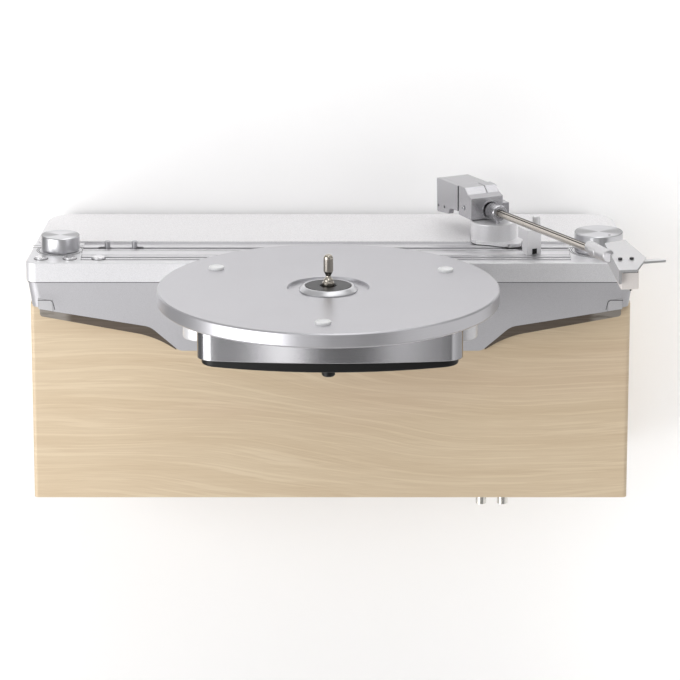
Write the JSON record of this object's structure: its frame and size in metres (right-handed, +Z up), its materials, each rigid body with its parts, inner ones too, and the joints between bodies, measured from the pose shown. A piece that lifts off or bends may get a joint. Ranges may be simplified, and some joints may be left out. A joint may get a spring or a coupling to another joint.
{
  "type": "wall-hung turntable",
  "caption": "Wall-hung turntable: cast deck on a maple cabinet, platter held out in front on a belt-drive housing, pivoted tonearm on its rest, knobs, push buttons and slide posts.",
  "frame": {"origin": "centre of the wall plate's four screw holes, on the wall's surface", "axes": "+X to the right along the deck, +Y into the wall, +Z up"},
  "size_m": [0.4762, 0.3962, 0.2427],
  "materials": {
    "cast_silver": "satin cast aluminium",
    "textured_silver": "fine textured silver paint",
    "ribbed_silver": "satin extruded aluminium",
    "maple": "clear satin lacquer over maple",
    "bronze_trim": "satin bronze paint",
    "dark_cover": "satin",
    "dark_base": "satin moulded",
    "platter_silver": "fine matte blasted aluminium",
    "pad_clear": "translucent silicone",
    "hub_polished": "polished",
    "hub_black": "satin black",
    "spindle_nickel": "polished nickel",
    "knob_silver": "satin turned aluminium",
    "button_silver": "satin",
    "arm_silver": "satin silver paint",
    "rest_silver": "satin",
    "tube_steel": "polished dark steel",
    "head_silver": "satin",
    "cartridge_grey": "satin moulded",
    "stylus_white": "satin moulded",
    "steel": "zinc-plated",
    "wall_steel": "matte black powder coat",
    "tray_steel": "galvanised",
    "brass": "turned",
    "bronze_bush": "sintered",
    "socket_plated": "nickel-plated",
    "inlet_black": "moulded",
    "belt_rubber": "ground",
    "board_green": "solder-masked board",
    "supply_case": "matte"
  },
  "bodies": {
    "base": {"wall_plate": "wall_steel", "hanger_rail": "wall_steel", "cabinet_front": "maple", "cabinet_left_side": "maple", "cabinet_right_side": "maple", "cabinet_bottom": "maple", "cabinet_back": "supply_case", "chassis_tray": "tray_steel", "upper_deck_shell": "cast_silver", "lower_deck_shell": "cast_silver", "corner_covers": "dark_cover", "lower_trim_left": "bronze_trim", "lower_trim_right": "bronze_trim", "rear_top_plate": "textured_silver", "ribbed_strip": "ribbed_silver", "platter_housing": "cast_silver", "housing_base": "dark_base", "bearing_housing": "steel", "bearing_bush": "bronze_bush", "thrust_screw": "brass", "motor": "steel", "drive_belt": "belt_rubber", "control_board": "board_green", "knob_controls": "inlet_black", "phono_board": "board_green", "power_supply": "supply_case", "rca_jacks": "socket_plated", "dc_inlet": "inlet_black", "arm_pedestal": "arm_silver", "yaw_bush": "bronze_bush", "arm_rest": "rest_silver", "deck_screws": "steel"},
    "platter": {"platter": "platter_silver", "platter_pads": "pad_clear", "hub_ring": "hub_polished", "hub_disc": "hub_black", "spindle": "spindle_nickel", "sub_platter": "inlet_black"},
    "motor_rotor": {"motor_pulley": "brass"},
    "left_knob": {"left_knob": "knob_silver", "left_shaft": "steel"},
    "right_knob": {"right_knob": "knob_silver", "right_shaft": "steel"},
    "button_left": {"button_left": "button_silver"},
    "button_middle": {"button_middle": "button_silver"},
    "button_right": {"button_right": "button_silver"},
    "slide_post_left": {"slide_post_left": "steel"},
    "slide_post_right": {"slide_post_right": "steel"},
    "arm_yoke": {"pivot_housing": "arm_silver", "yaw_shaft": "steel"},
    "tonearm": {"counterweight": "arm_silver", "counterweight_core": "steel", "arm_pivot_block": "steel", "pitch_pin": "steel", "arm_tube": "tube_steel", "arm_collar": "arm_silver", "headshell": "head_silver", "headshell_screws": "steel", "cartridge": "cartridge_grey", "stylus": "stylus_white"}
  },
  "joints": [
    {"name": "platter_spin", "type": "hinge", "parent": "base", "child": "platter", "pos_m": [-0.0012, -0.2712, 0.119], "axis": [0, 0, 1], "continuous": true},
    {"name": "motor_spin", "type": "hinge", "parent": "base", "child": "motor_rotor", "pos_m": [-0.062, -0.214, 0.113], "axis": [0, 0, 1], "continuous": true},
    {"name": "left_knob_turn", "type": "hinge", "parent": "base", "child": "left_knob", "pos_m": [-0.207, -0.115, 0.113], "axis": [0, 0, 1], "range_deg": [-150, 150]},
    {"name": "right_knob_turn", "type": "hinge", "parent": "base", "child": "right_knob", "pos_m": [0.2054, -0.1166, 0.113], "axis": [0, 0, 1], "range_deg": [-140, 140]},
    {"name": "button_left_push", "type": "slide", "parent": "base", "child": "button_left", "axis": [0, 0, -1], "range_m": [0, 0.0015], "stiffness_N_per_m": 200},
    {"name": "button_middle_push", "type": "slide", "parent": "base", "child": "button_middle", "axis": [0, 0, -1], "range_m": [0, 0.0015], "stiffness_N_per_m": 200},
    {"name": "button_right_push", "type": "slide", "parent": "base", "child": "button_right", "axis": [0, 0, -1], "range_m": [0, 0.0015], "stiffness_N_per_m": 200},
    {"name": "slide_post_left_move", "type": "slide", "parent": "base", "child": "slide_post_left", "axis": [1, 0, 0], "range_m": [-0.0045, 0]},
    {"name": "slide_post_right_move", "type": "slide", "parent": "base", "child": "slide_post_right", "axis": [1, 0, 0], "range_m": [0, 0.0045]},
    {"name": "arm_swing", "type": "hinge", "parent": "base", "child": "arm_yoke", "pos_m": [0.1182, -0.0714, 0.113], "axis": [0, 0, 1], "range_deg": [-44, 0]},
    {"name": "arm_lift", "type": "hinge", "parent": "arm_yoke", "child": "tonearm", "pos_m": [0.1182, -0.0714, 0.1373], "axis": [-0.8988, -0.4384, 0], "range_deg": [0, 6]}
  ],
  "couplings": [
    {"joint": "motor_spin", "follows": "platter_spin", "ratio": 6.6667}
  ]
}
